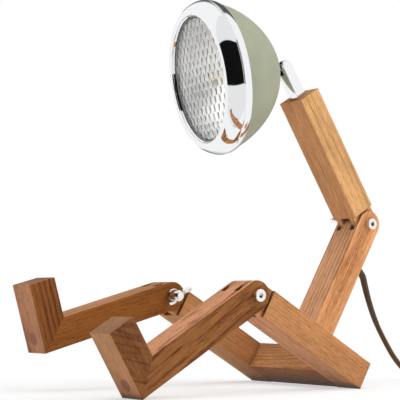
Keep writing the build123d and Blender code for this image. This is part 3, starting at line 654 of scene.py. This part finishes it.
def lens_blank():
    """The lens without its prisms. Its attribute "inside" is 1 where they will stand."""
    around, inner_rings, outer_rings = 288, 56, 14
    inner_radii = [prism_r * k / inner_rings for k in range(inner_rings + 1)]
    outer_radii = [dome_r * k / outer_rings for k in range(outer_rings - 1, -1, -1)]
    stations = [(radius, dome_z(radius) + glass, 1) for radius in inner_radii]
    stations += [(radius, z, 0) for radius, z in (
        (step_r[0], flange_back - step_drop), (step_r[1], flange_back),
        (flange_r - flange_bevel, flange_back), (flange_r, flange_back - flange_bevel),
        (flange_r, flange_front + flange_bevel), (flange_r - flange_bevel, flange_front),
        (dome_r + flange_bevel, flange_front), (dome_r, flange_front - dome_lip))]
    stations += [(radius, dome_z(radius), 0) for radius in outer_radii]
    bm = bmesh.new()
    inside = bm.verts.layers.float.new("inside")
    rings = []
    for radius, z, has_prism in stations:
        angles = [2 * pi * i / around for i in range(around if radius else 1)]
        ring = [bm.verts.new((radius * cos(angle), radius * sin(angle), z)) for angle in angles]
        for vert in ring:
            vert[inside] = has_prism
        rings.append(ring)
    for low, high in zip(rings, rings[1:]):
        for i in range(around):
            j = (i + 1) % around
            corners = [low[i % len(low)], low[j % len(low)], high[j % len(high)], high[i % len(high)]]
            bm.faces.new([c for k, c in enumerate(corners) if c not in corners[:k]])
    bmesh.ops.recalc_face_normals(bm, faces=bm.faces)
    return object_from_bmesh("prism_lens", bm)


def prism_tree(glass_material):
    """Pillow prisms in staggered rows, raised on the inside of a lens."""
    tree = bpy.data.node_groups.new("prism_rows", "GeometryNodeTree")
    tree.interface.new_socket("Geometry", in_out="INPUT", socket_type="NodeSocketGeometry")
    for name, value in (("Pitch across", 8.8), ("Pitch of rows", 6.7), ("Prism height", 0.85),
                        ("Turn", radians(6))):
        tree.interface.new_socket(name, in_out="INPUT", socket_type="NodeSocketFloat").default_value = value
    tree.interface.new_socket("Geometry", in_out="OUTPUT", socket_type="NodeSocketGeometry")
    given = node(tree, "NodeGroupInput").outputs
    row_pitch = given["Pitch of rows"]
    half = times(tree, given["Pitch across"], 0.5)
    minus_half, minus_row = times(tree, half, -1.0), times(tree, row_pitch, -1.0)
    place = node(tree, "GeometryNodeInputPosition").outputs[0]
    turned = node(tree, "ShaderNodeVectorRotate", {"Vector": place, "Angle": given["Turn"]},
                  rotation_type="Z_AXIS")
    u, v = parts_of(tree, turned.outputs[0])[:2]

    def squared_length(x, y):
        return plus(tree, times(tree, x, x), times(tree, y, y))

    def from_middle(u, v):
        """Squared distance from the middle of the nearest prism, among every second row."""
        return squared_length(maths(tree, "WRAP", u, half, minus_half),
                              maths(tree, "WRAP", v, row_pitch, minus_row))

    between_rows = from_middle(plus(tree, u, half), plus(tree, v, row_pitch))
    nearest = maths(tree, "MINIMUM", from_middle(u, v), between_rows)
    corner = maths(tree, "DIVIDE", squared_length(half, row_pitch), times(tree, row_pitch, 2.0))
    fall = maths(tree, "DIVIDE", nearest, times(tree, corner, corner))
    height = times(tree, maths(tree, "SUBTRACT", 1.0, fall), given["Prism height"])
    inside = node(tree, "GeometryNodeInputNamedAttribute", {"Name": "inside"}, data_type="FLOAT").outputs[0]
    raised = node(tree, "GeometryNodeSetPosition", {"Geometry": given["Geometry"],
                                                    "Offset": vector_of(tree, z=times(tree, height, inside))})
    real = node(tree, "GeometryNodeRealizeInstances", {0: raised.outputs[0]})
    skinned = node(tree, "GeometryNodeSetMaterial", {"Geometry": real.outputs[0], "Material": glass_material})
    node(tree, "NodeGroupOutput", {0: skinned.outputs[0]})
    return tree


def make_lens():
    lens = lens_blank()
    prisms = lens.modifiers.new("prisms", "NODES")
    prisms.node_group = prism_tree(clear_glass("prism_glass", (1.0, 1.0, 0.995), rough=0.17, bends=1.38))
    mesh = baked(lens)
    lens.modifiers.clear()
    lens.data = mesh
    mesh.transform(head_frame @ Matrix.Scale(MM, 4))
    mesh.polygons.foreach_set("use_smooth", [True] * len(mesh.polygons))
    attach(lens, "head")
    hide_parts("lens")


make_lens()


# ------------------------------------------------------------------ world, floor and lights
def make_world():
    """An even white to look at, with dark flags that only reflections see, and a dimmer white that lights.

    A look that has passed into glass finds a brighter white, as if the lens faced a lit softbox.
    """
    world = bpy.data.worlds.new("studio")
    world.use_nodes = True
    scene.world = world
    tree = world.node_tree
    tree.nodes.clear()
    way = node(tree, "ShaderNodeTexCoord").outputs["Generated"]
    up = parts_of(tree, way)[2]
    path = node(tree, "ShaderNodeLightPath").outputs
    soft = 0.02

    def towards(azimuth):
        """How far a direction points to an azimuth, from -1 to 1."""
        return vector_maths(tree, "DOT_PRODUCT", way, (cos(radians(azimuth)), sin(radians(azimuth)), 0))

    def between(start, end, edge=soft):
        """1 for directions from one azimuth on to another, less than half a turn away."""
        return times(tree, *[eased(tree, towards(middle), -edge, edge) for middle in (start + 90, end - 90)])

    above = eased(tree, plus(tree, times(tree, towards(-50), 0.465), up), -soft, soft)
    below = eased(tree, maths(tree, "SUBTRACT", times(tree, towards(-27), 0.85), up), -soft, soft)
    front_flag = times(tree, between(-95, 5), times(tree, above, below))
    back_flag = times(tree, between(104, 158, 0.06), eased(tree, up, -0.6, 0.05), 0.9)
    grey_side = times(tree, between(-95, 12), 0.13)
    flags = maths(tree, "MAXIMUM", maths(tree, "MAXIMUM", front_flag, back_flag), grey_side)
    flags = times(tree, flags, path["Is Glossy Ray"])
    shown = maths(tree, "MAXIMUM", path["Is Camera Ray"], path["Is Transmission Ray"])
    shown = maths(tree, "MAXIMUM", shown, path["Is Glossy Ray"])
    around = mixed(tree, flags, rgba((1, 1, 1)), rgba((0.006, 0.006, 0.006)))
    brightness = plus(tree, times(tree, path["Is Transmission Ray"], 2.0), 1.0)
    light = node(tree, "ShaderNodeBackground", {"Color": rgba((1, 1, 1)), "Strength": 0.55})
    white = node(tree, "ShaderNodeBackground", {"Color": around, "Strength": brightness})
    mix = node(tree, "ShaderNodeMixShader", {0: shown, 1: light.outputs[0], 2: white.outputs[0]})
    node(tree, "ShaderNodeOutputWorld", {"Surface": mix.outputs[0]})


def make_floor():
    """A pale floor that keeps a soft shadow near the lamp and runs into the white further out."""
    bm = bmesh.new()
    bmesh.ops.create_circle(bm, cap_ends=True, segments=96, radius=14)
    floor = object_from_bmesh("floor", bm, smooth=False)
    material, tree = new_material("floor_white")
    out = vector_maths(tree, "LENGTH", node(tree, "ShaderNodeTexCoord").outputs["Object"])
    seen = node(tree, "ShaderNodeLightPath").outputs["Is Camera Ray"]
    fade = times(tree, seen, eased(tree, out, 0.15, 0.9, 0.55, 1.0))
    body = node(tree, "ShaderNodeBsdfDiffuse", {"Color": rgba((0.93, 0.93, 0.93))})
    white = node(tree, "ShaderNodeEmission", {"Color": rgba((1, 1, 1)), "Strength": 1.0})
    mix = node(tree, "ShaderNodeMixShader", {0: fade, 1: body.outputs[0], 2: white.outputs[0]})
    finish_material(tree, mix.outputs[0])
    floor.data.materials.append(material)
    floor.visible_glossy = False


def make_light(name, at, aim, size, power):
    data = bpy.data.lights.new(name, "AREA")
    data.shape = "RECTANGLE"
    data.size, data.size_y = size
    data.energy = power
    data.spread = pi
    lamp = add_object(name, data)
    lamp.location = at
    lamp.rotation_euler = (Vector(aim) - Vector(at)).to_track_quat("-Z", "Y").to_euler()
    lamp.visible_glossy = False


scene.view_settings.view_transform = "Standard"
make_world()
make_floor()
make_light("key", (1.05, 1.25, 1.3), (0, 0, 0.15), (1.4, 1.4), 17)
make_light("top", (-0.1, -0.2, 2.0), (0, 0, 0.1), (1.6, 1.6), 19)
